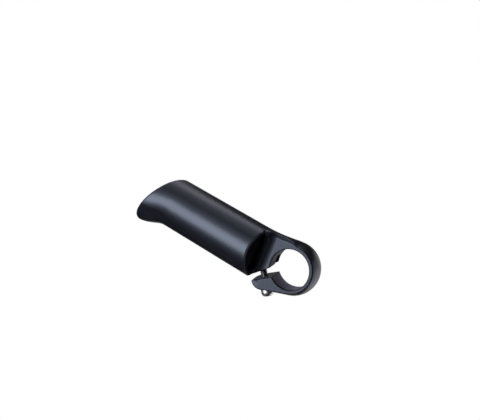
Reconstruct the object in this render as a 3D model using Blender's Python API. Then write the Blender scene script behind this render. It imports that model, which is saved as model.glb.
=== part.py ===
"""Bicycle bar end: a hollow cast grip with a split clamp ring, its clamp bolt and washer.

Frame: the origin is the centre of the clamp bore, half way through the ring.
+Y runs along the bore to the open, stepped side of the clamp, where the grip stands proud.
-Y is the flush side. +X is the way the grip points and +Z is up.
"""

import math

import bmesh
import bpy
from mathutils import Matrix, Vector

MM = 0.001

# Handlebar and clamp ring
HANDLEBAR_RADIUS = 11.1 * MM
BORE_ROOM = 0.05 * MM
BORE_RADIUS = HANDLEBAR_RADIUS + BORE_ROOM
RING_WIDTH = 13.0 * MM
RING_WALL = 1.9 * MM
RING_CROWN = 1.6 * MM
RING_EDGE_RADIUS = BORE_RADIUS + RING_WALL

# Grip, measured from the bore's centre along the grip's own axis
GRIP_LENGTH = 86.9 * MM
GRIP_SWEEP = math.radians(8.2)
GRIP_OFFSET = 6.3 * MM
GRIP_HALF_THICKNESS = 12.2 * MM
GRIP_HALF_HEIGHT = 14.3 * MM
GRIP_TAPER = 0.6 * MM
GRIP_WALL = 2.4 * MM

# Tip, an oblique flat end with a lip below it
TIP_RAKE = math.radians(23.7)
TIP_TURN = math.radians(15.3)
TIP_WALL = 3.5 * MM
TIP_ROUNDING = 1.4 * MM
LIP_DEPTH = 4.6 * MM
LIP_LENGTH = 17.0 * MM
LIP_SPREAD = 2.0

# Neck, from the ring to the full grip
NECK_LENGTH = 22.0 * MM
NECK_SHOULDER = 2.1 * MM
NECK_STEP_START = -4.0 * MM
NECK_STEP_LENGTH = 19.0 * MM
NECK_SQUARENESS = 2.6
NECK_SINK = 0.05 * MM
NECK_OVERHANG = 0.4 * MM

# Mouth of the hollow, beside the neck on the stepped side
MOUTH_DISTANCE = 16.4 * MM
MOUTH_LEAN = math.radians(3.0)
MOUTH_TURN = math.radians(22.8)
RAMP_START = 15.0 * MM
RAMP_LENGTH = 17.0 * MM
RAMP_STEP = 0.4 * MM
MOUTH_HALF_HEIGHT_BELOW = 7.5 * MM
MOUTH_SQUARENESS = 2.8

# Split of the clamp, which runs out and down from the bore and leans across the ring's width
SPLIT_ANGLE = math.radians(-35.0)
SPLIT_BELOW = 1.9 * MM
SPLIT_ABOVE = 3.25 * MM
SPLIT_CLOSING = math.radians(8.9)
SPLIT_LEAN = math.radians(6.0)

# Clamp bolt, an M4 cap screw square to the split
BOLT_RADIUS = 2.0 * MM
BOLT_DISTANCE = 17.5 * MM
BOLT_HEAD_RADIUS = 3.5 * MM
BOLT_HEAD_HEIGHT = 4.0 * MM
BOLT_HEAD_ROUNDING = 1.7 * MM
BOLT_HEAD_DOME = 2.4 * MM
BOLT_REACH = 8.4 * MM
BOLT_POINT = 0.5 * MM
HEX_ACROSS_FLATS = 3.0 * MM
HEX_DEPTH = 2.2 * MM
HOLE_END_ROOM = 0.8 * MM

# Washer under the bolt's head
WASHER_RADIUS = 4.4 * MM
WASHER_THICKNESS = 0.8 * MM
SEAT_ROOM = 0.4 * MM

# Ear that carries the bolt's head, below the split
EAR_RADIUS = 5.2 * MM
EAR_CROWN = 0.6 * MM
EAR_CORNER = 2.0 * MM
EAR_CORNER_WIDTH = 5.0 * MM
EAR_CENTRE_BELOW = 3.0 * MM
SEAT_BELOW = 7.6 * MM

# Flat cut on the flush side, and the relief pocket in the upper jaw's bore wall
FACING_RADIUS = 16.3 * MM
FACING_X = 6.5 * MM
FACING_Z = -6.0 * MM
POCKET_DEPTH = 2.0 * MM
POCKET_WIDTH = 3.8 * MM
POCKET_EDGE = 1.2 * MM
POCKET_ARC = math.radians(26.0)

# Clearance between pieces that seat on or pass through each other
SEAT_GAP = 0.27 * MM
HOLE_GAP = 0.3 * MM

# Fineness of the curved surfaces
ELLIPSE = 2.0
SKIN_POINTS = 48
TIP_CROWDING = 0.7
CAVITY_POINTS = 40
CIRCLE_POINTS = 72
TURNED_POINTS = 32
OVERRUN = 1.5 * MM
FAR = 40.0 * MM


def lerp(a, b, t):
    """The value a share t of the way from a to b."""
    return a + (b - a) * t


def ease(value, start, length):
    """Smooth step from 0 to 1 over a stretch."""
    t = min(max((value - start) / length, 0.0), 1.0)
    return t * t * (3.0 - 2.0 * t)


def clear_scene():
    """Remove whatever the scene holds."""
    for item in list(bpy.data.objects):
        bpy.data.objects.remove(item, do_unlink=True)


def make_material(name, colour, roughness, metallic):
    """A plain Principled material."""
    material = bpy.data.materials.new(name)
    material.use_nodes = True
    shader = material.node_tree.nodes["Principled BSDF"]
    shader.inputs["Base Color"].default_value = (*colour, 1.0)
    shader.inputs["Roughness"].default_value = roughness
    shader.inputs["Metallic"].default_value = metallic
    return material


def add_object(name, shape, material=None):
    """Turn a bmesh into an object with its faces pointing out."""
    bmesh.ops.recalc_face_normals(shape, faces=shape.faces)
    mesh = bpy.data.meshes.new(name)
    shape.to_mesh(mesh)
    shape.free()
    mesh.shade_smooth()
    mesh.set_sharp_from_angle(angle=math.radians(35.0))
    item = bpy.data.objects.new(name, mesh)
    bpy.context.scene.collection.objects.link(item)
    if material:
        mesh.materials.append(material)
    return item


def add_loft(name, rings):
    """A closed solid through rings of points, capped at both ends."""
    shape = bmesh.new()
    rows = [[shape.verts.new(point) for point in ring] for ring in rings]
    count = len(rows[0])
    for before, after in zip(rows, rows[1:]):
        for i in range(count):
            j = (i + 1) % count
            shape.faces.new((before[i], before[j], after[j], after[i]))
    shape.faces.new(rows[0])
    shape.faces.new(rows[-1])
    return add_object(name, shape)


def add_prism(name, outline, start_y, end_y):
    """An outline of (x, z) points carried from one y to another."""
    rings = [[Vector((x, y, z)) for x, z in outline] for y in (start_y, end_y)]
    return add_loft(name, rings)


def add_turned(name, profile, frame, points):
    """A profile of (radius, height) points turned about the frame's own Z axis."""
    shape = bmesh.new()
    rows = []
    for radius, height in profile:
        row = []
        for i in range(points):
            angle = math.tau * i / points
            place = Vector((radius * math.cos(angle), radius * math.sin(angle), height))
            row.append(shape.verts.new(place))
        rows.append(row)
    for before, after in zip(rows, rows[1:]):
        for i in range(points):
            j = (i + 1) % points
            shape.faces.new((before[i], before[j], after[j], after[i]))
    shape.faces.new(rows[0])
    shape.faces.new(rows[-1])
    item = add_object(name, shape)
    item.matrix_world = frame
    return item


def combine(target, other, operation):
    """Join or cut with another solid, which then only guides the shape."""
    other.hide_render = True
    other.display_type = "WIRE"
    modifier = target.modifiers.new(other.name, "BOOLEAN")
    modifier.operation = operation
    modifier.solver = "EXACT"
    modifier.object = other


def superellipse(angle, power):
    """Cosine and sine of an angle, squared off as the power goes above 2."""
    cosine = math.cos(angle)
    sine = math.sin(angle)
    squeeze = 2.0 / power
    across = math.copysign(abs(cosine) ** squeeze, cosine)
    along = math.copysign(abs(sine) ** squeeze, sine)
    return across, along


def grip_centre_y(x):
    """Where the swept grip's axis is at x."""
    return GRIP_OFFSET - x * math.tan(GRIP_SWEEP)


def grip_half_height(x):
    """Half of the grip's height, which tapers to the tip."""
    return GRIP_HALF_HEIGHT - GRIP_TAPER * max(x, 0.0) / GRIP_LENGTH


def tip_x(dy, z):
    """Where the oblique end lies for a point dy and z off the grip's axis."""
    along = GRIP_LENGTH + math.tan(TIP_TURN) * dy * math.cos(GRIP_SWEEP)
    along += dy * math.sin(GRIP_SWEEP) - math.tan(TIP_RAKE) * z
    return along * math.cos(GRIP_SWEEP)


def dome(y, edge, crown):
    """Radius of a domed rim: the edge radius at the ring's faces and the crown added half way."""
    return edge + crown * (1.0 - (2.0 * y / RING_WIDTH) ** 2)


def split_point(along, above):
    """A point (x, z) given by its distance along the split and above it."""
    cosine = math.cos(SPLIT_ANGLE)
    sine = math.sin(SPLIT_ANGLE)
    return along * cosine - above * sine, along * sine + above * cosine


def bolt_frame(above):
    """Frame on the bolt's axis, with Z up the bolt, at a height above the split."""
    x, z = split_point(BOLT_DISTANCE, above)
    turn = Matrix.Rotation(-SPLIT_ANGLE, 4, "Y")
    return Matrix.Translation(Vector((x, 0.0, z))) @ turn


def neck_section(x):
    """Section of the neck at x: it grows from the ring's block to the grip's oval."""
    grown = ease(x, 0.0, NECK_LENGTH)
    stepped = ease(x, NECK_STEP_START, NECK_STEP_LENGTH)
    half_ring = RING_WIDTH / 2.0
    centre = lerp(0.0, grip_centre_y(x), stepped)
    flush_side = lerp(-half_ring - NECK_OVERHANG, grip_centre_y(x) - GRIP_HALF_THICKNESS, grown)
    step_side = lerp(half_ring + NECK_SHOULDER, grip_centre_y(x) + GRIP_HALF_THICKNESS, stepped)
    root_height = RING_EDGE_RADIUS + RING_CROWN - NECK_SINK
    height = lerp(root_height, grip_half_height(x), grown)
    power = lerp(NECK_SQUARENESS, ELLIPSE, grown)
    ring = []
    for i in range(SKIN_POINTS):
        across, along = superellipse(math.tau * i / SKIN_POINTS, power)
        side = step_side - centre if across > 0.0 else centre - flush_side
        ring.append(Vector((x, centre + side * across, height * along)))
    return ring


def grip_section(share, inset, back):
    """Section of the grip a share of the way from the neck to the tip, inset and set back there."""
    ring = []
    for i in range(SKIN_POINTS):
        angle = math.tau * i / SKIN_POINTS
        cosine = math.cos(angle)
        sine = math.sin(angle)
        full_lip = LIP_DEPTH * ((1.0 - sine) / 2.0) ** LIP_SPREAD
        tip_thickness = GRIP_HALF_THICKNESS + full_lip - inset
        tip_height = GRIP_HALF_HEIGHT - GRIP_TAPER + full_lip - inset
        end = tip_x(tip_thickness * cosine, tip_height * sine)
        x = lerp(NECK_LENGTH, end - back, share)
        lip = full_lip * ease(x, end - LIP_LENGTH, LIP_LENGTH)
        thickness = GRIP_HALF_THICKNESS + lip - inset
        height = grip_half_height(x) + lip - inset
        y = grip_centre_y(x) + thickness * cosine
        z = height * sine
        ring.append(Vector((x, y, z)))
    return ring


def make_skin():
    """Outside of the neck and grip, from inside the ring to the rounded tip."""
    rings = []
    neck_steps = 10
    for i in range(neck_steps):
        rings.append(neck_section(NECK_LENGTH * i / neck_steps))
    grip_steps = 20
    for i in range(grip_steps + 1):
        rings.append(grip_section((i / grip_steps) ** TIP_CROWDING, 0.0, TIP_ROUNDING))
    rounding_steps = 3
    for i in range(1, rounding_steps + 1):
        angle = math.pi / 2.0 * i / rounding_steps
        inset = TIP_ROUNDING * (1.0 - math.cos(angle))
        back = TIP_ROUNDING * (1.0 - math.sin(angle))
        rings.append(grip_section(1.0, inset, back))
    return add_loft("bar_end_body", rings)


def cavity_section(share):
    """Section of the hollow: its floor ramps from the neck's face down to the flush wall."""
    ring = []
    for i in range(CAVITY_POINTS):
        angle = math.tau * i / CAVITY_POINTS
        end = tip_x(
            (GRIP_HALF_THICKNESS - GRIP_WALL) * math.cos(angle),
            (GRIP_HALF_HEIGHT - GRIP_WALL) * math.sin(angle),
        )
        x = lerp(RAMP_START - OVERRUN, end - TIP_WALL, share)
        sunk = ease(x, RAMP_START, RAMP_LENGTH)
        opened = ease(x, RAMP_START, RAMP_LENGTH / 2.0)
        wall_top = grip_centre_y(x) + GRIP_HALF_THICKNESS - GRIP_WALL
        wall_bottom = grip_centre_y(x) - GRIP_HALF_THICKNESS + GRIP_WALL
        floor = lerp(RING_WIDTH / 2.0 + RAMP_STEP, wall_bottom, sunk)
        centre = lerp((wall_top + floor) / 2.0, grip_centre_y(x), sunk)
        above = grip_half_height(x) - GRIP_WALL
        below = lerp(MOUTH_HALF_HEIGHT_BELOW, above, opened)
        across, along = superellipse(angle, lerp(MOUTH_SQUARENESS, ELLIPSE, sunk))
        side = wall_top - centre if across > 0.0 else centre - floor
        height = above if along > 0.0 else below
        ring.append(Vector((x, centre + side * across, height * along)))
    return ring


def make_cavity():
    """The hollow of the grip, as a cutter."""
    steps = 22
    return add_loft("grip_hollow", [cavity_section(i / steps) for i in range(steps + 1)])


def make_mouth_cutter():
    """Space beside the neck: above the ring's open face and ahead of the grip's rim."""
    face = RING_WIDTH / 2.0

    def rim_point(off, z):
        along = MOUTH_DISTANCE + math.tan(MOUTH_TURN) * off + math.tan(MOUTH_LEAN) * z
        x = along * math.cos(GRIP_SWEEP) + off * math.sin(GRIP_SWEEP)
        y = GRIP_OFFSET - along * math.sin(GRIP_SWEEP) + off * math.cos(GRIP_SWEEP)
        return x, y

    rings = []
    for z in (-FAR, FAR):
        low_x, low_y = rim_point(0.0, z)
        high_x, high_y = rim_point(FAR / 2.0, z)
        corner_x = lerp(low_x, high_x, (face - low_y) / (high_y - low_y))
        outline = [(-FAR, face), (corner_x, face), (high_x, high_y), (-FAR, high_y)]
        rings.append([Vector((x, y, z)) for x, y in outline])
    return add_loft("mouth_cutter", rings)


def make_ring():
    """Domed clamp ring, run past both faces for the cutters to trim."""
    half = RING_WIDTH / 2.0 + OVERRUN
    steps = 12
    rings = []
    for i in range(steps + 1):
        y = lerp(-half, half, i / steps)
        radius = dome(y, RING_EDGE_RADIUS, RING_CROWN)
        ring = []
        for j in range(CIRCLE_POINTS):
            angle = math.tau * j / CIRCLE_POINTS
            ring.append(Vector((radius * math.cos(angle), y, radius * math.sin(angle))))
        rings.append(ring)
    return add_loft("clamp_ring", rings)


def ear_outline(y):
    """Outline of the ear at y: a round end about the bolt, tangent to the ring."""
    big = dome(y, RING_EDGE_RADIUS, RING_CROWN)
    corner = max(EAR_CORNER_WIDTH - RING_WIDTH / 2.0 - y, 0.0) / EAR_CORNER_WIDTH
    small = dome(y, EAR_RADIUS, EAR_CROWN) - EAR_CORNER * corner ** 2
    reach = math.hypot(BOLT_DISTANCE, EAR_CENTRE_BELOW)
    tilt = math.asin((big - small) / reach) - math.atan2(EAR_CENTRE_BELOW, BOLT_DISTANCE)
    lowest = -math.pi / 2.0 + tilt
    points = [split_point(0.0, 0.0), split_point(0.0, -big * math.cos(tilt))]
    points.append(split_point(big * math.cos(lowest), big * math.sin(lowest)))
    steps = 14
    for i in range(steps + 1):
        angle = lerp(lowest, 0.0, i / steps)
        along = BOLT_DISTANCE + small * math.cos(angle)
        points.append(split_point(along, -EAR_CENTRE_BELOW + small * math.sin(angle)))
    points.append(split_point(BOLT_DISTANCE + small, 0.0))
    return points


def make_ear():
    """Ear of the lower jaw, domed across its width like the ring."""
    half = RING_WIDTH / 2.0
    steps = 12
    rings = []
    for i in range(steps + 1):
        y = lerp(-half - OVERRUN, half, i / steps)
        rings.append([Vector((x, y, z)) for x, z in ear_outline(y)])
    return add_loft("ear", rings)


def circle_outline(centre_x, centre_z, radius, points):
    """Points (x, z) of a circle."""
    outline = []
    for i in range(points):
        angle = math.tau * i / points
        outline.append((centre_x + radius * math.cos(angle), centre_z + radius * math.sin(angle)))
    return outline


def make_split():
    """Split between the jaws, which narrows a little from the bore to its open end."""
    inner = BORE_RADIUS / 2.0
    outer = BOLT_DISTANCE + 2.0 * EAR_RADIUS
    closing = math.tan(SPLIT_CLOSING)
    rings = []
    for y in (-FAR, FAR):
        lean = -y * math.tan(SPLIT_LEAN)
        corners = [
            (inner, lean - SPLIT_BELOW),
            (outer, lean - SPLIT_BELOW),
            (outer, lean + SPLIT_ABOVE - closing * (outer - BORE_RADIUS)),
            (inner, lean + SPLIT_ABOVE - closing * (inner - BORE_RADIUS)),
        ]
        outline = [split_point(along, above) for along, above in corners]
        rings.append([Vector((x, y, z)) for x, z in outline])
    return add_loft("split_cutter", rings)


def make_pocket():
    """Relief pocket in the upper jaw's bore wall, next to the split on the flush side."""
    start = SPLIT_ANGLE
    end = SPLIT_ANGLE + math.asin(SPLIT_ABOVE / BORE_RADIUS) + POCKET_ARC
    outer = BORE_RADIUS + POCKET_DEPTH
    inner = BORE_RADIUS - POCKET_DEPTH
    steps = 8
    outline = []
    for i in range(steps + 1):
        angle = lerp(start, end, i / steps)
        outline.append((outer * math.cos(angle), outer * math.sin(angle)))
    outline.append((inner * math.cos(end), inner * math.sin(end)))
    outline.append((inner * math.cos(start), inner * math.sin(start)))
    edge = -RING_WIDTH / 2.0 + POCKET_EDGE
    return add_prism("relief_pocket", outline, edge, edge + POCKET_WIDTH)


def make_body(material):
    """The one-piece casting: skin, ring and ear joined, then machined."""
    body = make_skin()
    combine(body, make_ring(), "UNION")
    combine(body, make_ear(), "UNION")
    combine(body, make_mouth_cutter(), "DIFFERENCE")
    combine(body, make_cavity(), "DIFFERENCE")
    flush = -RING_WIDTH / 2.0
    facing = circle_outline(FACING_X, FACING_Z, FACING_RADIUS, CIRCLE_POINTS)
    combine(body, add_prism("facing_cutter", facing, -FAR, flush), "DIFFERENCE")
    ring_face = circle_outline(0.0, 0.0, RING_EDGE_RADIUS + RING_CROWN, CIRCLE_POINTS)
    combine(body, add_prism("ring_face_cutter", ring_face, -FAR, flush), "DIFFERENCE")
    bore = circle_outline(0.0, 0.0, BORE_RADIUS, CIRCLE_POINTS)
    combine(body, add_prism("bore_cutter", bore, -FAR, FAR), "DIFFERENCE")
    combine(body, make_split(), "DIFFERENCE")
    combine(body, make_pocket(), "DIFFERENCE")
    hole = BOLT_RADIUS + HOLE_GAP
    hole_top = BOLT_REACH + HOLE_END_ROOM
    hole_profile = [(hole, -SEAT_BELOW - OVERRUN), (hole, hole_top)]
    hole_cutter = add_turned("bolt_hole", hole_profile, bolt_frame(0.0), TURNED_POINTS)
    combine(body, hole_cutter, "DIFFERENCE")
    seat = WASHER_RADIUS + SEAT_ROOM
    seat_profile = [(seat, -SEAT_BELOW - EAR_RADIUS), (seat, -SEAT_BELOW)]
    seat_cutter = add_turned("washer_seat", seat_profile, bolt_frame(0.0), TURNED_POINTS)
    combine(body, seat_cutter, "DIFFERENCE")
    body.data.materials.append(material)
    return body


def make_washer(material):
    """Flat washer between the ear and the bolt's head."""
    top = -SEAT_BELOW - SEAT_GAP
    profile = [(WASHER_RADIUS, -WASHER_THICKNESS), (WASHER_RADIUS, 0.0)]
    washer = add_turned("bolt_washer", profile, bolt_frame(top), TURNED_POINTS)
    hole = BOLT_RADIUS + HOLE_GAP
    hole_profile = [(hole, -2.0 * WASHER_THICKNESS), (hole, WASHER_THICKNESS)]
    cutter = add_turned("washer_hole", hole_profile, bolt_frame(top), TURNED_POINTS)
    combine(washer, cutter, "DIFFERENCE")
    washer.data.materials.append(material)
    return washer


def make_bolt(material):
    """Cap screw with a hex socket, seated under the washer and reaching into the upper jaw."""
    seat = -SEAT_BELOW - 2.0 * SEAT_GAP - WASHER_THICKNESS
    end = BOLT_REACH - seat
    profile = []
    rounding_steps = 3
    for i in range(rounding_steps + 1):
        angle = math.pi / 2.0 * i / rounding_steps
        radius = BOLT_HEAD_RADIUS - BOLT_HEAD_ROUNDING * (1.0 - math.sin(angle))
        height = -BOLT_HEAD_HEIGHT + BOLT_HEAD_DOME * (1.0 - math.cos(angle))
        profile.append((radius, height))
    profile.append((BOLT_HEAD_RADIUS, 0.0))
    profile.append((BOLT_RADIUS, 0.0))
    profile.append((BOLT_RADIUS, end - BOLT_POINT))
    profile.append((BOLT_RADIUS - BOLT_POINT, end))
    bolt = add_turned("clamp_bolt", profile, bolt_frame(seat), TURNED_POINTS)
    hex_radius = HEX_ACROSS_FLATS / 2.0 / math.cos(math.pi / 6.0)
    hex_start = -BOLT_HEAD_HEIGHT - OVERRUN
    hex_profile = [(hex_radius, hex_start), (hex_radius, -BOLT_HEAD_HEIGHT + HEX_DEPTH)]
    combine(bolt, add_turned("hex_socket", hex_profile, bolt_frame(seat), 6), "DIFFERENCE")
    bolt.data.materials.append(material)
    return bolt


def main():
    """Build the whole part."""
    clear_scene()
    black = make_material("satin_black_aluminium", (0.018, 0.019, 0.022), 0.42, 0.6)
    steel = make_material("bright_steel", (0.62, 0.63, 0.65), 0.25, 1.0)
    make_body(black)
    make_washer(steel)
    make_bolt(steel)


main()
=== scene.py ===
"""Looks of the bicycle bar end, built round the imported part."""

import math

import bpy
import numpy as np
from mathutils import Matrix, Vector


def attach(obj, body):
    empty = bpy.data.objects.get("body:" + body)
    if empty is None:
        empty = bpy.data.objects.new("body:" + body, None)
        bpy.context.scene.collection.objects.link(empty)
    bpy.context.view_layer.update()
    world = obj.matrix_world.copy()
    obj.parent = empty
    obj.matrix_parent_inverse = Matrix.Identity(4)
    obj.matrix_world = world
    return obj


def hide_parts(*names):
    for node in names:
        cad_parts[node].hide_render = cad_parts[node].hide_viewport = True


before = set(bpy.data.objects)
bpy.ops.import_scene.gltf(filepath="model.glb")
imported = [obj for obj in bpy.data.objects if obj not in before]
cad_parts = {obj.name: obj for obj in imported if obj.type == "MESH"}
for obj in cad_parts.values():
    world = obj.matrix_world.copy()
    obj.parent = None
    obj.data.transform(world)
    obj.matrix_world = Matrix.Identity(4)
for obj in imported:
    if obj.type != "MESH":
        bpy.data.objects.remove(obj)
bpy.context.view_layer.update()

# Lengths are in millimetres unless a name says otherwise. The frame is the part's own:
# the bore runs along Y through the origin, +Y is the stepped side, +X the way the grip points.
MM = 0.001

# Clamp ring. Past DOME_REACH, a share of half its width, its dome falls no further,
# and UNCUT is the metal outside each face before the faces are cut.
BORE_RADIUS = 11.15
RING_WIDTH = 13.0
HALF_RING = RING_WIDTH / 2.0
RING_WALL = 2.15
RING_EDGE_RADIUS = BORE_RADIUS + RING_WALL
RING_CROWN = 1.6
DOME_REACH = 1.3
UNCUT = 1.0

# Grip
GRIP_LENGTH = 86.9
GRIP_SWEEP = math.radians(8.2)
GRIP_OFFSET = 6.3
GRIP_HALF_THICKNESS = 12.2
GRIP_HALF_HEIGHT = 14.55
GRIP_TAPER = 0.6
GRIP_WALL = 2.4

# Tip
TIP_RAKE = math.radians(23.7)
TIP_TURN = math.radians(15.3)
TIP_WALL = 3.5
TIP_ROUNDING = 1.4
LIP_DEPTH = 4.6
LIP_LENGTH = 17.0
LIP_SPREAD = 2.0
TIP_SIDEWAYS = math.tan(TIP_TURN) * math.cos(GRIP_SWEEP) + math.sin(GRIP_SWEEP)
TIP_SLANT_Y = TIP_SIDEWAYS * math.cos(GRIP_SWEEP)
TIP_SLANT_Z = -math.tan(TIP_RAKE) * math.cos(GRIP_SWEEP)

# Neck
NECK_LENGTH = 22.0
NECK_SHOULDER = 2.1
NECK_STEP_START = -4.0
NECK_STEP_LENGTH = 19.0
NECK_SQUARENESS = 2.6
NECK_RISE = 0.3
NECK_OVERHANG = 0.4
NECK_DIVE = 1.0
NECK_DIVE_START = -1.25
NECK_DIVE_LENGTH = 5.0
NECK_BACK = -2.5

# Mouth of the hollow
MOUTH_DISTANCE = 16.4
MOUTH_LEAN = math.radians(3.0)
MOUTH_TURN = math.radians(22.8)
MOUTH_HALF_HEIGHT_BELOW = 7.5
MOUTH_SQUARENESS = 2.8
RAMP_START = 15.0
RAMP_LENGTH = 17.0
RAMP_EDGE = 16.2
HOLLOW_END_ROUNDING = 1.5

# Run-out of the facing cut, which rises a little toward the mouth
RUN_OUT_START = 12.4
RUN_OUT_RADIUS = 8.5
RUN_OUT_SHARE = 0.6
RUN_OUT_LOW_END = -11.5
RUN_OUT_LOW_FADE = 1.5

# Split of the clamp
SPLIT_ANGLE = math.radians(-35.0)
SPLIT_BELOW = 1.9
SPLIT_ABOVE = 3.25
SPLIT_CLOSING = math.radians(8.9)
SPLIT_LEAN = math.radians(6.0)

# Clamp bolt and washer
BOLT_RADIUS = 2.0
BOLT_PITCH = 0.7
BOLT_DISTANCE = 17.5
BOLT_HEAD_RADIUS = 3.5
BOLT_HEAD_HEIGHT = 4.0
BOLT_HEAD_ROUNDING = 1.7
BOLT_HEAD_DOME = 2.4
BOLT_REACH = 8.4
HEX_ACROSS_FLATS = 3.0
HEX_DEPTH = 2.2
HEX_TURN = math.radians(60.0)
HOLE_END_ROOM = 0.8
HOLE_GAP = 0.3
SEAT_GAP = 0.27
BOLT_POINT = 0.5
THREAD_DEPTH = 0.42
THREAD_POINTS = 48
WASHER_RADIUS = 4.4
WASHER_THICKNESS = 0.8
WASHER_POINTS = 64
SEAT_ROOM = 0.4
SEAT_BELOW = 7.6
SHARP_ANGLE = math.radians(35.0)

# One turn of the thread: share of the pitch, and share of the depth there
THREAD_PROFILE = ((0.0, 0.0), (0.12, 0.0), (0.46, 1.0), (0.66, 1.0), (1.0, 0.0))

# Ear
EAR_RADIUS = 5.45
EAR_CROWN = 0.6
EAR_CORNER = 2.0
EAR_CORNER_WIDTH = 5.0
EAR_CORNER_REACH = 1.2
EAR_CENTRE_BELOW = 3.0

# Flat cut on the flush side and relief pocket
FACING_RADIUS = 16.3
FACING_X = 6.5
FACING_Z = -6.0
POCKET_DEPTH = 2.0
POCKET_WIDTH = 3.8
POCKET_EDGE = 1.2
POCKET_ARC = math.radians(26.0)

# Roundings of the casting and of its machined edges
FILLET_NECK = 0.8
EDGE_FACE_RING = 0.45
EDGE_FACE_NECK = 2.4
EDGE_RIM = 1.2
EDGE_HOLLOW = 0.3
EDGE_CUT = 0.35
EDGE_BORE = 0.3
EDGE_BORE_OPEN = 0.35
EDGE_STEEL = 0.15

# Where the rounding of an edge changes
NECK_EDGE_LENGTH = 10.0
NECK_EDGE_HEIGHT = 6.0
RIM_EDGE_START = HALF_RING + 0.8
RIM_EDGE_LENGTH = 1.5
BORE_OPEN_START = 3.0
BORE_OPEN_LENGTH = 1.0

# Grids that the surfaces are drawn from: the ends of each stretch, and the steps
BODY_X = (-15.6, 24.0, 72.0, 98.5)
BODY_X_STEPS = (0.36, 1.0, 0.5)
BODY_Y = (-22.0, 16.5)
BODY_Z = (-20.0, 16.0)
BODY_STEP = 0.37
HEAD_STEP = 0.14
HEAD_ROOM = 0.3

# The power of a superellipse that is a plain ellipse
ELLIPSE = 2.0

# Least divisors, the step that slopes are taken over, and how points settle on a surface
LEAST_SHARE = 0.02
LEAST_SLOPE = 0.1
SLOPE_STEP = 0.02
SETTLE_ROUNDS = 4
SETTLE_LIMIT = 0.2

# Camera of the photograph: azimuth 0 looks along +Y, and the roll is about its line of sight
CAMERA_AZIMUTH = math.radians(198.5454)
CAMERA_ELEVATION = math.radians(16.4058)
CAMERA_ROLL = math.radians(22.0349)
CAMERA_PLACE_M = (-0.206338, 0.735246, 0.243359)
CAMERA_LENS_MM = 112.2
CAMERA_SENSOR_MM = 36.0
CAMERA_CLIP_M = 0.01

# Lights stand round this point
LIGHT_TARGET_M = (0.03, 0.0, 0.0)
LIGHT_DISTANCE_M = 0.8
FLAG_DISTANCE_M = 0.4
WORLD_LEVEL = 0.2
WHITE = (1.0, 1.0, 1.0, 1.0)

# Name, azimuth, elevation, width and height in metres, brightness and colour of each light
LIGHTS = (
    ("key", 149.0, -7.0, 0.56, 0.45, 9.5, (0.94, 1.01, 1.0)),
    ("overhead", 62.0, 60.0, 0.5, 0.16, 3.6, (1.06, 1.0, 1.0)),
    ("right", 302.0, -12.0, 0.6, 0.7, 1.05, (1.1, 1.0, 1.08)),
    ("fill", 20.0, 62.0, 0.8, 0.8, 2.0, (1.0, 1.0, 1.0)),
)

# Name, azimuth, elevation, width and height in metres of each dark card
FLAGS = (
    ("flag_behind", 10.0, 36.0, 0.30, 0.45),
    ("flag_above", 305.0, 55.0, 0.50, 0.32),
    ("flag_front_high", 235.0, 45.0, 0.65, 0.5),
    ("flag_front", 237.0, 0.0, 0.95, 0.4),
    ("flag_front_low", 215.0, -48.0, 0.5, 0.4),
    ("flag_below", 90.0, -55.0, 0.8, 0.4),
    ("flag_low_right", 250.0, -66.0, 0.45, 0.35),
    ("flag_low_behind", 325.0, -60.0, 0.35, 0.25),
    ("flag_left", 85.0, -15.0, 0.35, 0.4),
    ("flag_key_top", 152.0, 40.0, 0.3, 0.1),
)
FLAG_COLOUR = (0.01, 0.01, 0.012, 1.0)

# Floor, and the corners that it and the dark cards are drawn from
CARD_CORNERS = ((-1, -1), (1, -1), (1, 1), (-1, 1))
FLOOR_HEIGHT_M = -0.5
FLOOR_WIDTH_M = 24.0
FLOOR_COLOUR = (0.8, 0.8, 0.8, 1.0)
FLOOR_ROUGHNESS = 0.9

# Black finish: colours. The colour on the bore's edge and the near colour of the hollow are painted
# shade, and the deep colour of the hollow is painted light.
CAST_DARK = (0.0055, 0.0058, 0.0088)
CAST_LIGHT = (0.0075, 0.0078, 0.0115)
BORE_DARK = (0.038, 0.036, 0.058)
BORE_LIGHT = (0.140, 0.134, 0.185)
# Painted shade: dark colour of the bore's wall next to the stepped face
BORE_EDGE_SHADE_COLOUR = (0.008, 0.008, 0.012)
SAWN_COLOUR = (0.060, 0.055, 0.075)
# Painted shade: the near colour of the hollow, its rim and ridge
HOLLOW_NEAR_SHADE = (0.004, 0.0038, 0.007)
# Painted light: deep in the hollow the colour is much paler than the casting, standing in for light
HOLLOW_DEEP_FILL_LIGHT = (0.22, 0.19, 0.28)
SPECULAR_TINT = (0.70, 0.76, 1.0, 1.0)

# Black finish: shine, roughness and grain. The ring edge's low shine paints shade as a dark line,
# and the dull shine paints shade in the hollow and on the bore's edge as well as dulling machined
# faces.
CAST_SHINE = 0.5
FACE_SHINE = 0.38
# Painted shade: a low shine that draws a dark line on the ring's lower edge
RING_EDGE_SHADE_SHINE = 0.15
# Shine of machined faces, and of the painted shade in the hollow and on the bore's edge
DULL_AND_SHADE_SHINE = 0.10
CAST_IOR = 1.45
CAST_ROUGHNESS = (0.30, 0.37)
DULL_ROUGHNESS = 0.6
BROAD_NOISE = (60.0, 3.0)
GRAIN_NOISE = (3500.0, 2.0)
BROAD_BAND = (0.35, 0.65)
GRAIN_BAND = (0.3, 0.7)
BUMP_STRENGTH = 0.12
BUMP_DISTANCE_M = 0.00005
TOOL_MARK = 1.3
TOOL_WOBBLE = 4.0
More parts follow.
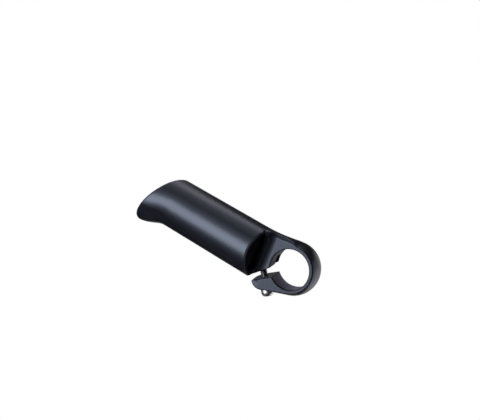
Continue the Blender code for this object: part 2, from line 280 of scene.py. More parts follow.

# Black finish: each band gives where a mask starts to change and where it has changed.
# The masks of the bore's edge, the ring's edge, the mouth's rim and corner, the hollow and its
# ridge paint shade, and the deep band paints light.
# The CLEAR bands keep the hollow's painted shade off the face on the flush side.
BORED_DEPTH = (0.03, 0.12)
BORE_EDGE_SHADE_DEPTH = (0.3, 0.5)
BORE_EDGE_SHADE_Y = (4.9, 5.2)
RING_EDGE_SHADE_DEPTH = (RING_WALL - 0.4, RING_WALL - 0.1)
RING_EDGE_SHADE_Y = (5.0, 5.8)
RING_EDGE_SHADE_Z = (-5.0, -1.0)
FACE_LOW_Y = (HALF_RING - 0.1, HALF_RING - 0.03)
FACE_HIGH_Y = (HALF_RING + 0.03, HALF_RING + 0.1)
FACE_X = (12.0, 14.0)
RIM_FRONT = (-0.8, -0.4)
RIM_BACK = (0.25, 0.6)
RIM_Y = (6.7, 7.2)
CORNER_FRONT = (-4.0, -3.0)
CORNER_Z = (8.5, 10.0)
HOLLOW_SHARE = (0.84, 0.90)
HOLLOW_Y = (8.2, 8.8)
HOLLOW_X = (70.0, 72.0)
DEEP_FILL_LIGHT_X = (19.0, 27.0)
RIDGE_SHARE = (0.96, 1.08)
RIDGE_START_X = (12.8, 15.6)
RIDGE_END_X = (17.5, 18.5)
CLEAR_X = (23.0, 23.4)
CLEAR_Y = (4.6, 5.8)
SAWN_DEPTH = (0.04, 0.1)
SAWN_START = (5.0, 5.5)

# Steel: two colours, and the roughness of each
BRIGHT_STEEL = ((0.42, 0.42, 0.44), (0.56, 0.56, 0.58), 0.30, 0.44)
THREAD_STEEL = ((0.10, 0.10, 0.115), (0.18, 0.18, 0.20), 0.34, 0.46)
STEEL_NOISE = (2500.0, 3.0)


def lerp(a, b, t):
    """The value a share t of the way from a to b."""
    return a + (b - a) * t


def ease(value, start, length):
    """Smooth step from 0 to 1 over a stretch."""
    t = np.clip((value - start) / length, 0.0, 1.0)
    return t * t * (3.0 - 2.0 * t)


# Solids as fields: each function gives about how far points lie outside a surface.


def joined(a, b, radius):
    """Union of two solids with a fillet of that radius."""
    corner = np.hypot(np.maximum(radius - a, 0.0), np.maximum(radius - b, 0.0))
    return np.maximum(radius, np.minimum(a, b)) - corner


def shared(a, b, radius):
    """Room that two solids share, with its edge rounded to that radius."""
    corner = np.hypot(np.maximum(radius + a, 0.0), np.maximum(radius + b, 0.0))
    return np.minimum(-radius, np.maximum(a, b)) + corner


def without(a, b, radius):
    """The first solid less the second, with the cut's edge rounded."""
    return shared(a, -b, radius)


def oval(across, along, half_across, half_along, power):
    """Distance outside a superellipse."""
    c = np.abs(across) / half_across
    s = np.abs(along) / half_along
    ratio = np.maximum((c**power + s**power) ** (1.0 / power), LEAST_SHARE)
    slope = np.hypot(c ** (power - 1.0) / half_across, s ** (power - 1.0) / half_along)
    return (ratio - 1.0) / np.maximum(slope * ratio ** (1.0 - power), LEAST_SHARE)


def dome(y, edge, crown):
    """Radius of a domed rim that is fullest half way across the ring."""
    share = np.minimum(np.abs(y) / HALF_RING, DOME_REACH)
    return edge + crown * (1.0 - share**2)


def grip_centre(x):
    """Where the swept grip's axis is at x."""
    return GRIP_OFFSET - x * math.tan(GRIP_SWEEP)


def grip_half_height(x):
    """Half of the grip's height, which tapers to the tip."""
    return GRIP_HALF_HEIGHT - GRIP_TAPER * np.maximum(x, 0.0) / GRIP_LENGTH


def tip_x(off, z):
    """Where the oblique end lies for a point off the grip's axis."""
    return GRIP_LENGTH * math.cos(GRIP_SWEEP) + TIP_SLANT_Y * off + TIP_SLANT_Z * z


def beyond_tip(x, y, z, back):
    """Distance past the oblique end, or past a plane set back from it."""
    end = tip_x(y - grip_centre(x), z)
    forward = 1.0 - TIP_SLANT_Y * math.tan(GRIP_SWEEP)
    slope = math.sqrt(forward**2 + TIP_SLANT_Y**2 + TIP_SLANT_Z**2)
    return (x - end + back) / slope


def skin(x, y, z):
    """Outside of the neck and grip, with the lip under the tip."""
    grown = ease(x, 0.0, NECK_LENGTH)
    stepped = ease(x, NECK_STEP_START, NECK_STEP_LENGTH)
    centre = grip_centre(x) * stepped
    flush_side = lerp(-HALF_RING - NECK_OVERHANG, grip_centre(x) - GRIP_HALF_THICKNESS, grown)
    step_side = lerp(HALF_RING + NECK_SHOULDER, grip_centre(x) + GRIP_HALF_THICKNESS, stepped)
    root_height = RING_EDGE_RADIUS + RING_CROWN + NECK_RISE
    height = lerp(root_height, grip_half_height(x), grown)
    power = lerp(NECK_SQUARENESS, ELLIPSE, grown)
    side = np.where(y > centre, step_side - centre, centre - flush_side)
    reach = np.maximum(np.hypot((y - centre) / side, z / height), LEAST_SHARE)
    cosine = (y - centre) / side / reach
    sine = z / height / reach
    full_lip = LIP_DEPTH * ((1.0 - sine) / 2.0) ** LIP_SPREAD
    tip_height = GRIP_HALF_HEIGHT - GRIP_TAPER + full_lip
    end = tip_x((GRIP_HALF_THICKNESS + full_lip) * cosine, tip_height * sine)
    lip = full_lip * ease(x, end - LIP_LENGTH, LIP_LENGTH)
    wall = oval(y - centre, z, side + lip, height + lip, power)
    wall = wall + NECK_DIVE * (1.0 - ease(x, NECK_DIVE_START, NECK_DIVE_LENGTH))
    ended = shared(wall, beyond_tip(x, y, z, 0.0), TIP_ROUNDING)
    return np.maximum(ended, NECK_BACK - x)


def ring(x, y, z):
    """Domed clamp ring, as wide as the casting was before its faces were cut."""
    rim = np.hypot(x, z) - dome(y, RING_EDGE_RADIUS, RING_CROWN)
    return np.maximum(rim, np.abs(y) - HALF_RING - UNCUT)


def along_split(x, z):
    """Coordinates along the split and square to it."""
    cosine = math.cos(SPLIT_ANGLE)
    sine = math.sin(SPLIT_ANGLE)
    return x * cosine + z * sine, z * cosine - x * sine


def ear(x, y, z):
    """Ear of the lower jaw: a round end about the bolt, tangent to the ring."""
    along, above = along_split(x, z)
    big = dome(y, RING_EDGE_RADIUS, RING_CROWN)
    corner = np.clip((EAR_CORNER_WIDTH - HALF_RING - y) / EAR_CORNER_WIDTH, 0.0, EAR_CORNER_REACH)
    small = dome(y, EAR_RADIUS, EAR_CROWN) - EAR_CORNER * corner**2
    reach = math.hypot(BOLT_DISTANCE, EAR_CENTRE_BELOW)
    run = (along * BOLT_DISTANCE - above * EAR_CENTRE_BELOW) / reach
    rise = -(along * EAR_CENTRE_BELOW + above * BOLT_DISTANCE) / reach
    slant = (big - small) / reach
    level = np.sqrt(1.0 - slant**2)
    drop = np.abs(rise)
    passed = run * level - drop * slant
    flank = drop * level + run * slant - big
    round_end = np.hypot(run - reach, rise) - small
    side = np.where(passed > reach * level, round_end, flank)
    side = np.where(passed < 0.0, np.hypot(run, rise) - big, side)
    block = np.maximum(side, above)
    return np.maximum(block, np.abs(y) - HALF_RING - UNCUT)


def mouth_room(x, y, z):
    """Space beside the neck, above the faced side and its run-out, and ahead of the grip's rim."""
    shifted = y - GRIP_OFFSET
    along = x * math.cos(GRIP_SWEEP) - shifted * math.sin(GRIP_SWEEP)
    off = x * math.sin(GRIP_SWEEP) + shifted * math.cos(GRIP_SWEEP)
    rim = along - MOUTH_DISTANCE - math.tan(MOUTH_TURN) * off - math.tan(MOUTH_LEAN) * z
    run_out = np.clip(x - RUN_OUT_START, 0.0, RUN_OUT_SHARE * RUN_OUT_RADIUS)
    rise = RUN_OUT_RADIUS - np.sqrt(RUN_OUT_RADIUS**2 - run_out**2)
    face = HALF_RING + rise * ease(z, RUN_OUT_LOW_END, RUN_OUT_LOW_FADE)
    return np.maximum(face - y, rim * math.cos(MOUTH_TURN))


def hollow(x, y, z):
    """Hollow of the grip, whose floor ramps from the ring's face down to the flush wall."""
    sunk = ease(x, RAMP_START, RAMP_LENGTH)
    opened = ease(x, RAMP_START, RAMP_LENGTH / 2.0)
    wall_top = grip_centre(x) + GRIP_HALF_THICKNESS - GRIP_WALL
    wall_bottom = grip_centre(x) - GRIP_HALF_THICKNESS + GRIP_WALL
    floor = lerp(HALF_RING, wall_bottom, sunk)
    centre = lerp((wall_top + floor) / 2.0, grip_centre(x), sunk)
    above = grip_half_height(x) - GRIP_WALL
    below = lerp(MOUTH_HALF_HEIGHT_BELOW, above, opened)
    side = np.where(y > centre, wall_top - centre, centre - floor)
    height = np.where(z > 0.0, above, below)
    power = lerp(MOUTH_SQUARENESS, ELLIPSE, sunk)
    room = oval(y - centre, z, side, height, power)
    room = shared(room, beyond_tip(x, y, z, TIP_WALL), HOLLOW_END_ROUNDING)
    return np.maximum(room, RAMP_EDGE - x)


def split(x, y, z):
    """Split between the jaws, which leans across the ring and narrows outwards."""
    along, above = along_split(x, z)
    level = above + y * math.tan(SPLIT_LEAN)
    top = level - SPLIT_ABOVE + math.tan(SPLIT_CLOSING) * (along - BORE_RADIUS)
    between = np.maximum(top * math.cos(SPLIT_CLOSING), -level - SPLIT_BELOW)
    return np.maximum(between, BORE_RADIUS / 2.0 - along)


def pocket(x, y, z):
    """Relief pocket in the upper jaw's bore wall."""
    end = SPLIT_ANGLE + math.asin(SPLIT_ABOVE / BORE_RADIUS) + POCKET_ARC
    radius = np.hypot(x, z)
    angle = np.arctan2(z, x)
    edge = -HALF_RING + POCKET_EDGE
    across = np.maximum(edge - y, y - edge - POCKET_WIDTH)
    round_it = np.maximum(angle - end, SPLIT_ANGLE - angle) * radius
    return np.maximum(np.maximum(across, round_it), radius - BORE_RADIUS - POCKET_DEPTH)


def bolt_place(x, y, z):
    """Distance from the bolt's axis, and height above the split along it."""
    along, above = along_split(x, z)
    return np.hypot(along - BOLT_DISTANCE, y), above


def body_field(x, y, z):
    """The whole casting after machining."""
    solid = joined(skin(x, y, z), ring(x, y, z), FILLET_NECK)
    solid = np.minimum(solid, ear(x, y, z))
    on_neck = ease(x, 0.0, NECK_EDGE_LENGTH) * ease(z, 0.0, NECK_EDGE_HEIGHT)
    rounding = lerp(EDGE_FACE_RING, EDGE_FACE_NECK, on_neck)
    rounding = lerp(rounding, EDGE_RIM, ease(y, RIM_EDGE_START, RIM_EDGE_LENGTH))
    solid = without(solid, mouth_room(x, y, z), rounding)
    solid = without(solid, hollow(x, y, z), EDGE_HOLLOW)
    low = y + HALF_RING
    facing = np.hypot(x - FACING_X, z - FACING_Z) - FACING_RADIUS
    ring_face = np.hypot(x, z) - RING_EDGE_RADIUS - RING_CROWN
    cut_low = np.maximum(np.minimum(facing, ring_face), low)
    solid = without(solid, cut_low, EDGE_CUT)
    reach, above = bolt_place(x, y, z)
    hole = np.maximum(reach - BOLT_RADIUS - HOLE_GAP, above - BOLT_REACH - HOLE_END_ROOM)
    solid = without(solid, hole, EDGE_BORE)
    seat = np.maximum(reach - WASHER_RADIUS - SEAT_ROOM, above + SEAT_BELOW)
    solid = without(solid, seat, EDGE_BORE)
    solid = without(solid, split(x, y, z), EDGE_CUT)
    edge = lerp(EDGE_BORE, EDGE_BORE_OPEN, ease(y, BORE_OPEN_START, BORE_OPEN_LENGTH))
    solid = without(solid, np.hypot(x, z) - BORE_RADIUS, edge)
    return without(solid, pocket(x, y, z), EDGE_BORE)


def bolt_head(x, y, z):
    """Domed cap head with its hex socket, about the bolt's axis, with its seat at height 0."""
    radius = np.hypot(x, y)
    across = np.maximum(radius - BOLT_HEAD_RADIUS + BOLT_HEAD_ROUNDING, 0.0)
    down = np.maximum(BOLT_HEAD_DOME - BOLT_HEAD_HEIGHT - z, 0.0)
    head = oval(across, down, BOLT_HEAD_ROUNDING, BOLT_HEAD_DOME, ELLIPSE)
    head = shared(head, z, EDGE_STEEL)
    socket = z + BOLT_HEAD_HEIGHT - HEX_DEPTH
    for i in range(3):
        angle = HEX_TURN * i
        side = np.abs(x * math.cos(angle) + y * math.sin(angle)) - HEX_ACROSS_FLATS / 2.0
        socket = np.maximum(socket, side)
    return without(head, socket, EDGE_STEEL)


# From a field to a mesh


def spaced(start, end, step):
    """Evenly spaced places from start up to, but not including, end."""
    count = max(int(round((end - start) / step)), 1)
    return start + (end - start) * np.arange(count) / count


def surface_cells(values):
    """Cells of the grid that the surface passes through: some of their 8 corners are inside."""
    inside = values < 0.0
    size = [n - 1 for n in values.shape]
    total = np.zeros(size, int)
    for i in (0, 1):
        for j in (0, 1):
            for k in (0, 1):
                total += inside[i : i + size[0], j : j + size[1], k : k + size[2]]
    return (total > 0) & (total < 8)


def cell_points(values, axes, cells):
    """One point in each cell: the middle of where its edges cross the surface."""
    places = np.argwhere(cells)
    total = np.zeros((len(places), 3))
    count = np.zeros(len(places))
    for axis in range(3):
        others = [a for a in range(3) if a != axis]
        for first in (0, 1):
            for second in (0, 1):
                start = places.copy()
                start[:, others[0]] += first
                start[:, others[1]] += second
                end = start.copy()
                end[:, axis] += 1
                a = values[tuple(start.T)]
                b = values[tuple(end.T)]
                crossed = (a < 0.0) != (b < 0.0)
                t = np.where(crossed, a / np.where(crossed, a - b, 1.0), 0.0)
                for i in range(3):
                    low = axes[i][start[:, i]]
                    high = axes[i][end[:, i]]
                    total[:, i] += np.where(crossed, low + (high - low) * t, 0.0)
                count += crossed
    return total / count[:, None]


def cell_quads(values, cells):
    """A quad between the four cells round each grid edge that crosses the surface."""
    number = np.full(cells.shape, -1)
    number[cells] = np.arange(np.count_nonzero(cells))
    inside = values < 0.0
    quads = []
    for axis in range(3):
        j = (axis + 1) % 3
        k = (axis + 2) % 3
        size = list(values.shape)
        size[axis] -= 1
        a = np.take(inside, range(size[axis]), axis)
        b = np.take(inside, range(1, size[axis] + 1), axis)
        for outward, crossed in ((True, a & ~b), (False, ~a & b)):
            places = np.argwhere(crossed)
            corners = []
            for dj, dk in ((-1, -1), (0, -1), (0, 0), (-1, 0)):
                cell = places.copy()
                cell[:, j] += dj
                cell[:, k] += dk
                corners.append(number[tuple(cell.T)])
            quad = np.stack(corners, 1)
            quads.append(quad if outward else quad[:, ::-1])
    return np.concatenate(quads)


def slope_of(field, points):
    """Gradient of a field at some points."""
    slope = np.zeros(points.shape)
    for i in range(3):
        ahead = points.copy()
        behind = points.copy()
        ahead[:, i] += SLOPE_STEP
        behind[:, i] -= SLOPE_STEP
        slope[:, i] = (field(*ahead.T) - field(*behind.T)) / (2.0 * SLOPE_STEP)
    return slope


def settle(field, points):
    """Move points onto the field's surface."""
    for _ in range(SETTLE_ROUNDS):
        value = field(*points.T)
        slope = slope_of(field, points)
        strength = np.maximum((slope**2).sum(1), LEAST_SLOPE)
        shift = np.clip(value / strength, -SETTLE_LIMIT, SETTLE_LIMIT)
        points = points - slope * shift[:, None]
    return points


def mesh_of_field(name, field, axes):
    """Closed mesh on the field's surface, with the field's own normals."""
    x, y, z = np.meshgrid(*axes, indexing="ij")
    values = field(x, y, z)
    cells = surface_cells(values)
    points = settle(field, cell_points(values, axes, cells))
    quads = cell_quads(values, cells)
    mesh = bpy.data.meshes.new(name)
    mesh.from_pydata((points * MM).tolist(), [], quads.tolist())
    mesh.update()
    mesh.shade_smooth()
    slope = slope_of(field, points)
    normals = slope / np.linalg.norm(slope, axis=1, keepdims=True)
    mesh.normals_split_custom_set_from_vertices(normals.tolist())
    item = bpy.data.objects.new(name, mesh)
    bpy.context.scene.collection.objects.link(item)
    return item


def make_body():
    """The casting: fine steps at the clamp and tip, long ones on the plain barrel."""
    stretches = zip(BODY_X, BODY_X[1:], BODY_X_STEPS)
    along = np.concatenate([spaced(start, end, step) for start, end, step in stretches])
    across = spaced(*BODY_Y, BODY_STEP)
    upright = spaced(*BODY_Z, BODY_STEP)
    return mesh_of_field("bar_end_casting", body_field, (along, across, upright))


def bolt_frame(above):
    """Frame on the bolt's axis, with Z up the bolt, at a height above the split."""
    cosine = math.cos(SPLIT_ANGLE)
    sine = math.sin(SPLIT_ANGLE)
    x = BOLT_DISTANCE * cosine - above * sine
    z = BOLT_DISTANCE * sine + above * cosine
    place = Matrix.Translation(Vector((x, 0.0, z)) * MM)
    return place @ Matrix.Rotation(-SPLIT_ANGLE, 4, "Y")


def add_steel(name, points, faces, place, material):
    """A piece of the bolt or washer from points in millimetres."""
    mesh = bpy.data.meshes.new(name)
    mesh.from_pydata([tuple(c * MM for c in point) for point in points], [], faces)
    mesh.update()
    mesh.shade_smooth()
    mesh.set_sharp_from_angle(angle=SHARP_ANGLE)
    mesh.materials.append(material)
    item = bpy.data.objects.new(name, mesh)
    item.matrix_world = place
    bpy.context.scene.collection.objects.link(item)
    return item


def make_thread(place, end, material):
    """Threaded shank: one turn's profile carried up the bolt as a helix."""
    profile = [(phase, BOLT_RADIUS - THREAD_DEPTH * share) for phase, share in THREAD_PROFILE]
    turns = int(math.ceil(end / BOLT_PITCH)) + 1
    points = []
    faces = []
    width = len(profile)
    for i in range(turns * THREAD_POINTS + 1):
        angle = math.tau * i / THREAD_POINTS
        for phase, radius in profile:
            height = min(BOLT_PITCH * (i / THREAD_POINTS + phase - 1.0), end)
            radius = min(radius, BOLT_RADIUS - BOLT_POINT + end - height)
            points.append((radius * math.cos(angle), radius * math.sin(angle), height))
        if i:
            for j in range(width - 1):
                a = (i - 1) * width + j
                faces.append((a, a + width, a + width + 1, a + 1))
    centre = len(points)
    points.append((0.0, 0.0, end))
    first = (turns - 1) * THREAD_POINTS
    for i in range(first, first + THREAD_POINTS):
        a = i * width + width - 1
        faces.append((a, a + width, centre))
    return add_steel("bolt_thread", points, faces, place, material)


def make_head(place, material):
    """Domed cap head with its hex socket, from its field."""
    half = BOLT_HEAD_RADIUS + HEAD_ROOM
    across = spaced(-half, half, HEAD_STEP)
    upright = spaced(-BOLT_HEAD_HEIGHT - HEAD_ROOM, HEAD_ROOM, HEAD_STEP)
    head = mesh_of_field("bolt_head", bolt_head, (across, across, upright))
    head.matrix_world = place
    head.data.materials.append(material)
    return head


def make_washer(place, material):
    """Flat washer with its edges broken."""
    inner = BOLT_RADIUS + HOLE_GAP
    outer = WASHER_RADIUS
    low = -WASHER_THICKNESS
    edge = EDGE_STEEL
    loop = [(inner, -edge), (inner, low + edge), (inner + edge, low), (outer - edge, low)]
    loop += [(outer, low + edge), (outer, -edge), (outer - edge, 0.0), (inner + edge, 0.0)]
    points = []
    faces = []
    for i in range(WASHER_POINTS):
        angle = math.tau * i / WASHER_POINTS
        points += [(r * math.cos(angle), r * math.sin(angle), height) for r, height in loop]
        for j in range(len(loop)):
            a = i * len(loop)
            b = (i + 1) % WASHER_POINTS * len(loop)
            k = (j + 1) % len(loop)
            faces.append((a + j, b + j, b + k, a + k))
    return add_steel("flat_washer", points, faces, place, material)


def make_camera():
    """Camera at the photograph's place."""
    camera = bpy.data.objects.new("camera", bpy.data.cameras.new("camera"))
    bpy.context.scene.collection.objects.link(camera)
    place = Matrix.Translation(CAMERA_PLACE_M)
    azimuth = Matrix.Rotation(CAMERA_AZIMUTH, 4, "Z")
    tilt = Matrix.Rotation(math.pi / 2.0 - CAMERA_ELEVATION, 4, "X")
    roll = Matrix.Rotation(CAMERA_ROLL, 4, "Z")
    camera.matrix_world = place @ azimuth @ tilt @ roll
    camera.data.sensor_width = CAMERA_SENSOR_MM
    camera.data.lens = CAMERA_LENS_MM
    camera.data.clip_start = CAMERA_CLIP_M
    bpy.context.scene.camera = camera


def add_softbox(name, azimuth, elevation, width, height, brightness, colour):
    """A soft light that faces the part from a direction, sized in metres."""
    data = bpy.data.lights.new(name, "AREA")
    data.shape = "RECTANGLE"
    data.size = width
    data.size_y = height
    data.energy = brightness * math.pi * width * height
    data.color = colour
    item = bpy.data.objects.new(name, data)
    bpy.context.scene.collection.objects.link(item)
    stand(item, azimuth, elevation, LIGHT_DISTANCE_M)
    return item


def stand(item, azimuth, elevation, distance):
    """Stand a light or a flag round the part, facing it."""
    a = math.radians(azimuth)
    e = math.radians(elevation)
    out = Vector((math.sin(a) * math.cos(e), -math.cos(a) * math.cos(e), math.sin(e)))
    item.location = Vector(LIGHT_TARGET_M) + out * distance
    item.rotation_mode = "QUATERNION"
    item.rotation_quaternion = (-out).to_track_quat("-Z", "Y")
    item.visible_camera = False


def add_card(name, width, height, level, material):
    """A flat rectangle about the Z axis, sized in metres, at a level."""
    mesh = bpy.data.meshes.new(name)
    corners = [(x * width / 2.0, y * height / 2.0, level) for x, y in CARD_CORNERS]
    mesh.from_pydata(corners, [], [(0, 1, 2, 3)])
    mesh.materials.append(material)
    item = bpy.data.objects.new(name, mesh)
    bpy.context.scene.collection.objects.link(item)
    return item


def add_flag(name, azimuth, elevation, width, height):
    """A dark card that the black finish reflects."""
    material, _, shader = new_material(name)
    shader.inputs["Base Color"].default_value = FLAG_COLOUR
    shader.inputs["Roughness"].default_value = 1.0
    shader.inputs["Specular IOR Level"].default_value = 0.0
    item = add_card(name, width, height, 0.0, material)
    stand(item, azimuth, elevation, FLAG_DISTANCE_M)
    item.visible_diffuse = False
    item.visible_shadow = False


def make_lights():
    """Key to the camera's left, strip overhead, side light, fill, and the dark cards."""
    lights = {row[0]: add_softbox(*row) for row in LIGHTS}
    lights["right"].visible_diffuse = False
    lights["fill"].visible_glossy = False
    for row in FLAGS:
        add_flag(*row)


def link(tree, source, target):
    """Join two sockets."""
    tree.links.new(source, target)


def add_seen(tree):
    """1 for rays from the camera and from metal or glass, and 0 for the rest."""
    path = tree.nodes.new("ShaderNodeLightPath")
    either = add_math(tree, "MAXIMUM", path.outputs["Is Camera Ray"], path.outputs["Is Glossy Ray"])
    return add_math(tree, "MAXIMUM", either, path.outputs["Is Transmission Ray"])


def make_world():
    """White to the camera and in reflections, grey to plain surfaces."""
    bpy.context.scene.view_settings.view_transform = "Standard"
    world = bpy.data.worlds.new("studio")
    bpy.context.scene.world = world
    world.use_nodes = True
    tree = world.node_tree
    tree.nodes.clear()
    output = tree.nodes.new("ShaderNodeOutputWorld")
    seen = tree.nodes.new("ShaderNodeBackground")
    seen.inputs["Color"].default_value = WHITE
    seen.inputs["Strength"].default_value = 1.0
    around = tree.nodes.new("ShaderNodeBackground")
    around.inputs["Color"].default_value = WHITE
    around.inputs["Strength"].default_value = WORLD_LEVEL
    mix = tree.nodes.new("ShaderNodeMixShader")
    link(tree, add_seen(tree), mix.inputs[0])
    link(tree, around.outputs[0], mix.inputs[1])
    link(tree, seen.outputs[0], mix.inputs[2])
    link(tree, mix.outputs[0], output.inputs[0])


def new_material(name):
    """A material with its Principled shader, and its tree."""
    material = bpy.data.materials.new(name)
    material.use_nodes = True
    tree = material.node_tree
    return material, tree, tree.nodes["Principled BSDF"]


def add_noise(tree, scale, detail):
    """Noise over the object's own coordinates."""
    place = tree.nodes.new("ShaderNodeTexCoord")
    noise = tree.nodes.new("ShaderNodeTexNoise")
    noise.inputs["Scale"].default_value = scale
    noise.inputs["Detail"].default_value = detail
    link(tree, place.outputs["Object"], noise.inputs["Vector"])
    return noise.outputs["Fac"]


def add_range(tree, value, low, high, to_low, to_high):
    """Map a value from one range to another."""
    node = tree.nodes.new("ShaderNodeMapRange")
    node.inputs["From Min"].default_value = low
    node.inputs["From Max"].default_value = high
    node.inputs["To Min"].default_value = to_low
    node.inputs["To Max"].default_value = to_high
    link(tree, value, node.inputs["Value"])
    return node.outputs["Result"]


def add_math(tree, operation, a, b=None):
    """A Math node over sockets or numbers."""
    node = tree.nodes.new("ShaderNodeMath")
    node.operation = operation
    for socket, value in zip(node.inputs, (a, b)):
        if value is None:
            continue
        if isinstance(value, (int, float)):
            socket.default_value = value
        else:
            link(tree, value, socket)
    return node.outputs[0]


def add_colours(tree, factor, first, second):
    """A blend of two colours."""
    node = tree.nodes.new("ShaderNodeMix")
    node.data_type = "RGBA"
    link(tree, factor, node.inputs["Factor"])
    for name, value in (("A", first), ("B", second)):
        sockets = [s for s in node.inputs if s.name == name and s.type == "RGBA"]
        if isinstance(value, tuple):
            sockets[0].default_value = (*value, 1.0)
        else:
            link(tree, value, sockets[0])
    return [s for s in node.outputs if s.type == "RGBA"][0]


def rising(tree, value, band):
    """0 below a band of values and 1 above it."""
    return add_range(tree, value, *band, 0.0, 1.0)


def falling(tree, value, band):
    """1 below a band of values and 0 above it."""
    return add_range(tree, value, *band, 1.0, 0.0)


def product(tree, first, *others):
    """Product of sockets or numbers."""
    for value in others:
        first = add_math(tree, "MULTIPLY", first, value)
    return first


def highest(tree, first, *others):
    """The highest of some values."""
    for value in others:
        first = add_math(tree, "MAXIMUM", first, value)
    return first


def add_blend(tree, factor, first, second):
    """A blend of two values."""
    step = add_math(tree, "SUBTRACT", second, first)
    return add_math(tree, "ADD", product(tree, step, factor), first)


def add_place(tree):
    """The object's own x, y and z in millimetres."""
    place = tree.nodes.new("ShaderNodeTexCoord")
    scaled = tree.nodes.new("ShaderNodeVectorMath")
    scaled.operation = "SCALE"
    scaled.inputs["Scale"].default_value = 1.0 / MM
    split_up = tree.nodes.new("ShaderNodeSeparateXYZ")
    link(tree, place.outputs["Object"], scaled.inputs[0])
    link(tree, scaled.outputs[0], split_up.inputs[0])
    return tuple(split_up.outputs)


def add_plane(tree, place, factors, start):
    """How far a point lies past a plane: x, y and z times a factor each, less a start."""
    total = -start
    for value, factor in zip(place, factors):
        if factor:
            total = add_math(tree, "ADD", product(tree, value, factor), total)
    return total


def add_square_sum(tree, a, b):
    """Sum of the squares of two values."""
    return add_math(tree, "ADD", product(tree, a, a), product(tree, b, b))


def add_bore_depth(tree, x, z):
    """Depth into the metal from the wall of the bore."""
    radius = add_math(tree, "SQRT", add_square_sum(tree, x, z))
    return add_math(tree, "SUBTRACT", radius, BORE_RADIUS)


def add_share(tree, place):
    """Share of the way from the grip's axis to its outside, squared."""
    off = add_plane(tree, place, (math.tan(GRIP_SWEEP), 1.0, 0.0), GRIP_OFFSET)
    across = add_math(tree, "DIVIDE", off, GRIP_HALF_THICKNESS)
    upright = add_math(tree, "DIVIDE", place[2], GRIP_HALF_HEIGHT)
    return add_square_sum(tree, across, upright)


def add_rim_shade(tree, place):
    """Painted shade: 1 on the flat rim of the grip's mouth, and on the corner before its top end.
    """
    along = math.cos(GRIP_SWEEP) - math.tan(MOUTH_TURN) * math.sin(GRIP_SWEEP)
    across = -math.sin(GRIP_SWEEP) - math.tan(MOUTH_TURN) * math.cos(GRIP_SWEEP)
    start = MOUTH_DISTANCE + across * GRIP_OFFSET
    depth = add_plane(tree, place, (along, across, -math.tan(MOUTH_LEAN)), start)
    corner = product(tree, rising(tree, depth, CORNER_FRONT), rising(tree, place[2], CORNER_Z))
    front = highest(tree, rising(tree, depth, RIM_FRONT), corner)
    return product(tree, falling(tree, depth, RIM_BACK), front, rising(tree, place[1], RIM_Y))


def add_hollow_shade(tree, place, rim):
    """Painted shade: 1 on the walls of the hollow, its rim and the ridge beside the mouth, fading
    out over the run-out beside it.
    """
    x, y = place[:2]
    share = add_share(tree, place)
    inner = falling(tree, share, HOLLOW_SHARE)
    beside = product(tree, inner, rising(tree, y, HOLLOW_Y))
    # Painted shade: a dark stripe on the ridge in the corner beside the mouth
    ridge_shade = product(tree, falling(tree, share, RIDGE_SHARE), rising(tree, x, RIDGE_START_X))
    ridge_shade = product(tree, ridge_shade, highest(tree, falling(tree, x, RIDGE_END_X), inner))
    inside = product(tree, highest(tree, ridge_shade, beside, rim), falling(tree, x, HOLLOW_X))
    clear = highest(tree, rising(tree, x, CLEAR_X), rising(tree, y, CLEAR_Y))
    return product(tree, inside, clear)


def add_sawn(tree, place):
    """1 on the two faces of the split."""
    cosine = math.cos(SPLIT_ANGLE)
    sine = math.sin(SPLIT_ANGLE)
    along = add_plane(tree, place, (cosine, 0.0, sine), 0.0)
    level = add_plane(tree, place, (-sine, math.tan(SPLIT_LEAN), cosine), 0.0)
    past_bore = add_math(tree, "SUBTRACT", along, BORE_RADIUS)
    top = add_math(tree, "ADD", level, product(tree, past_bore, math.tan(SPLIT_CLOSING)))
    near, far = SAWN_DEPTH
    over = rising(tree, level, (-SPLIT_BELOW - far, -SPLIT_BELOW - near))
    under = falling(tree, top, (SPLIT_ABOVE + near, SPLIT_ABOVE + far))
    return product(tree, over, under, rising(tree, along, SAWN_START))


def add_faced(tree, x, y):
    """1 on the flat face of the ring, ear and neck on the stepped side."""
    level = product(tree, rising(tree, y, FACE_LOW_Y), falling(tree, y, FACE_HIGH_Y))
    return product(tree, level, falling(tree, x, FACE_X))


def add_ring_edge_shade(tree, depth, y, z):
    """Painted shade: 1 on the rounded edge between the ring's face and its rim, on the ring's lower
    half, where a low shine draws a dark line.
    """
    outer = product(tree, rising(tree, depth, RING_EDGE_SHADE_DEPTH), rising(tree, y, RING_EDGE_SHADE_Y))
    return product(tree, outer, falling(tree, y, FACE_LOW_Y), falling(tree, z, RING_EDGE_SHADE_Z))


def add_marks(tree, y, broad):
    """The boring tool's marks, a little uneven, from 0 to 1."""
    turns = product(tree, y, math.tau / TOOL_MARK)
    turns = add_math(tree, "ADD", turns, product(tree, broad, TOOL_WOBBLE))
    return add_range(tree, add_math(tree, "SINE", turns), -1.0, 1.0, 0.0, 1.0)


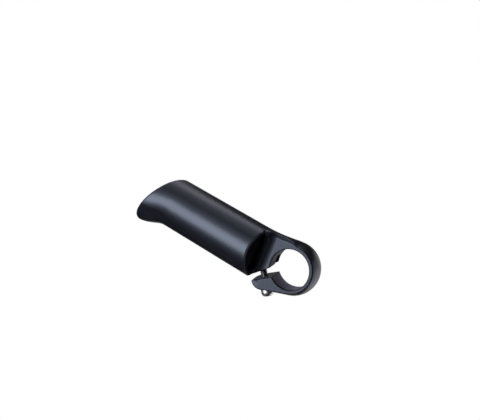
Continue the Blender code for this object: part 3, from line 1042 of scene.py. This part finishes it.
def make_black(name):
    """Satin black anodised casting, duller where it is machined, with painted shade in the hollow,
    on the mouth's rim and on the edges of the bore and ring, and painted light deep in the hollow.
    """
    material, tree, shader = new_material(name)
    place = add_place(tree)
    x, y, z = place
    depth = add_bore_depth(tree, x, z)
    bored = falling(tree, depth, BORED_DEPTH)
    # Painted shade: a dark, dull band on the bore's wall next to the stepped face
    bore_edge_shade = product(tree, falling(tree, depth, BORE_EDGE_SHADE_DEPTH), rising(tree, y, BORE_EDGE_SHADE_Y))
    # Painted shade on the mouth's rim and corner, and inside the hollow
    rim = add_rim_shade(tree, place)
    inside = add_hollow_shade(tree, place, rim)
    sawn = add_sawn(tree, place)
    broad = add_noise(tree, *BROAD_NOISE)
    grain = add_noise(tree, *GRAIN_NOISE)
    marks = add_marks(tree, y, broad)
    # Painted light: deep in the hollow the colour turns much paler
    deep_fill_light = product(tree, rising(tree, x, DEEP_FILL_LIGHT_X), add_math(tree, "SUBTRACT", 1.0, rim))
    base = add_colours(tree, rising(tree, broad, BROAD_BAND), CAST_DARK, CAST_LIGHT)
    base = add_colours(tree, bored, base, add_colours(tree, marks, BORE_DARK, BORE_LIGHT))
    base = add_colours(tree, sawn, base, SAWN_COLOUR)
    base = add_colours(tree, inside, base, add_colours(tree, deep_fill_light, HOLLOW_NEAR_SHADE, HOLLOW_DEEP_FILL_LIGHT))
    base = add_colours(tree, bore_edge_shade, base, BORE_EDGE_SHADE_COLOUR)
    # Dull where machined, and dull as painted shade in the hollow and on the bore's edge
    dull_and_shade = highest(tree, bored, inside, bore_edge_shade, sawn)
    rough = add_range(tree, grain, *GRAIN_BAND, *CAST_ROUGHNESS)
    shine = add_range(tree, add_faced(tree, x, y), 0.0, 1.0, CAST_SHINE, FACE_SHINE)
    # Painted shade: a low shine draws a dark line on the ring's lower edge
    shine = add_blend(tree, add_ring_edge_shade(tree, depth, y, z), shine, RING_EDGE_SHADE_SHINE)
    link(tree, base, shader.inputs["Base Color"])
    link(tree, add_blend(tree, dull_and_shade, rough, DULL_ROUGHNESS), shader.inputs["Roughness"])
    link(tree, add_blend(tree, dull_and_shade, shine, DULL_AND_SHADE_SHINE), shader.inputs["Specular IOR Level"])
    shader.inputs["IOR"].default_value = CAST_IOR
    shader.inputs["Specular Tint"].default_value = SPECULAR_TINT
    bump = tree.nodes.new("ShaderNodeBump")
    bump.inputs["Strength"].default_value = BUMP_STRENGTH
    bump.inputs["Distance"].default_value = BUMP_DISTANCE_M
    link(tree, add_blend(tree, bored, grain, marks), bump.inputs["Height"])
    link(tree, bump.outputs["Normal"], shader.inputs["Normal"])
    return material


def make_steel(name, dark, light, smooth, rough):
    """Plated steel, mottled between two colours and two roughnesses."""
    material, tree, shader = new_material(name)
    grain = add_noise(tree, *STEEL_NOISE)
    base = add_colours(tree, rising(tree, grain, GRAIN_BAND), dark, light)
    link(tree, base, shader.inputs["Base Color"])
    link(tree, add_range(tree, grain, *GRAIN_BAND, smooth, rough), shader.inputs["Roughness"])
    shader.inputs["Metallic"].default_value = 1.0
    return material


def make_floor():
    """Pale floor, white to the camera and in reflections."""
    material, tree, shader = new_material("pale_floor")
    shader.inputs["Base Color"].default_value = FLOOR_COLOUR
    shader.inputs["Roughness"].default_value = FLOOR_ROUGHNESS
    white = tree.nodes.new("ShaderNodeEmission")
    white.inputs["Color"].default_value = WHITE
    white.inputs["Strength"].default_value = 1.0
    mix = tree.nodes.new("ShaderNodeMixShader")
    link(tree, add_seen(tree), mix.inputs[0])
    link(tree, shader.outputs[0], mix.inputs[1])
    link(tree, white.outputs[0], mix.inputs[2])
    link(tree, mix.outputs[0], tree.nodes["Material Output"].inputs["Surface"])
    item = add_card("floor", FLOOR_WIDTH_M, FLOOR_WIDTH_M, FLOOR_HEIGHT_M, material)


def dress_body():
    """The casting in its black finish."""
    body = make_body()
    body.data.materials.append(make_black("satin_black"))
    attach(body, "bar_end")
    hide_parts("bar_end_body")


def dress_bolt():
    """The washer below its seat, and the bolt's shank and head below the washer."""
    steel = make_steel("bright_steel", *BRIGHT_STEEL)
    thread_steel = make_steel("thread_steel", *THREAD_STEEL)
    washer_top = -SEAT_BELOW - SEAT_GAP
    washer = make_washer(bolt_frame(washer_top), steel)
    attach(washer, "washer")
    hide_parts("bolt_washer")
    seat = washer_top - WASHER_THICKNESS - SEAT_GAP
    shank = make_thread(bolt_frame(seat), BOLT_REACH - seat, thread_steel)
    head = make_head(bolt_frame(seat), steel)
    for piece in (shank, head):
        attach(piece, "bolt")
        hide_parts("clamp_bolt")


def main():
    """Dress the part and light it."""
    make_camera()
    make_world()
    dress_body()
    dress_bolt()
    make_lights()
    make_floor()


main()
